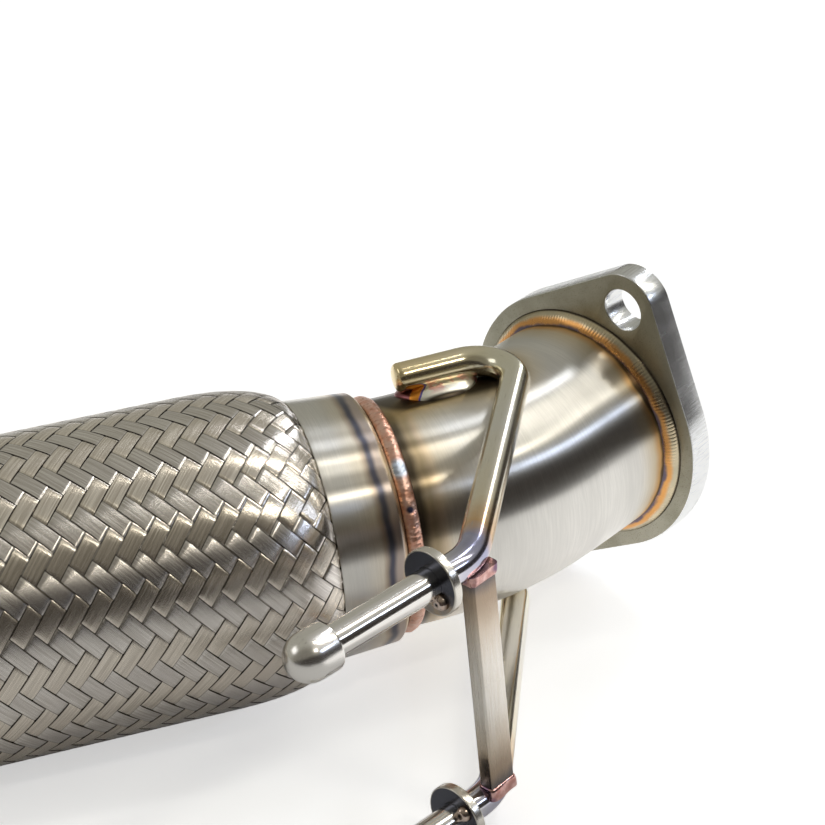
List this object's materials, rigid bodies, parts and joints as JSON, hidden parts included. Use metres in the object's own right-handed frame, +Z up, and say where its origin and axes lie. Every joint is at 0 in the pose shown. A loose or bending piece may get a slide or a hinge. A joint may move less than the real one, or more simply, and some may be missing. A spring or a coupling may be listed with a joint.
{
  "type": "turbo downpipe",
  "caption": "Turbo downpipe: short bent steel pipe with bolt-on diamond flanges, a braided flex section and a pair of welded hanger rods tied by a flat bar.",
  "frame": {"origin": "centre of the outlet flange's sealing face", "axes": "+X out of the outlet face along the pipe, +Z up and square to the plane of the bend, +Y toward the side that the flex section bends to"},
  "size_m": [0.3472, 0.2788, 0.1256],
  "materials": {
    "blasted_plate": "blasted face with machined edges",
    "straw_weld": "rippled bead, straw tint",
    "brushed_pipe": "brushed, straw tint by the welds",
    "copper_weld": "rippled bead, copper tint",
    "satin_collar": "satin, blue and straw heat tint",
    "braid_wire": "bright fine wire",
    "bellows_sheet": "smooth sheet",
    "liner_strip": "smooth strip",
    "polished_rod": "polished, heat tint at the bends",
    "bright_weld": "bright bead with coloured edges",
    "disc_plate": "smooth plate, dark blue heat tint",
    "satin_bar": "satin with brown heat tint at its ends"
  },
  "bodies": {
    "root": {"outlet_flange": "blasted_plate", "inlet_flange": "blasted_plate", "outlet_flange_weld": "straw_weld", "inlet_flange_weld": "straw_weld", "outlet_root_weld": "straw_weld", "inlet_root_weld": "straw_weld", "outlet_pipe": "brushed_pipe", "inlet_pipe": "brushed_pipe", "outlet_butt_weld": "copper_weld", "inlet_butt_weld": "copper_weld", "outlet_collar": "satin_collar", "inlet_collar": "satin_collar", "braid": "braid_wire", "bellows": "bellows_sheet", "interlock_liner": "liner_strip", "upper_hanger_rod": "polished_rod", "lower_hanger_rod": "polished_rod", "upper_hanger_weld": "bright_weld", "lower_hanger_weld": "bright_weld", "upper_stop_disc": "disc_plate", "lower_stop_disc": "disc_plate", "upper_disc_tack": "bright_weld", "lower_disc_tack": "bright_weld", "brace_bar": "satin_bar", "brace_upper_bead": "copper_weld", "brace_lower_bead": "copper_weld"}
  },
  "joints": []
}
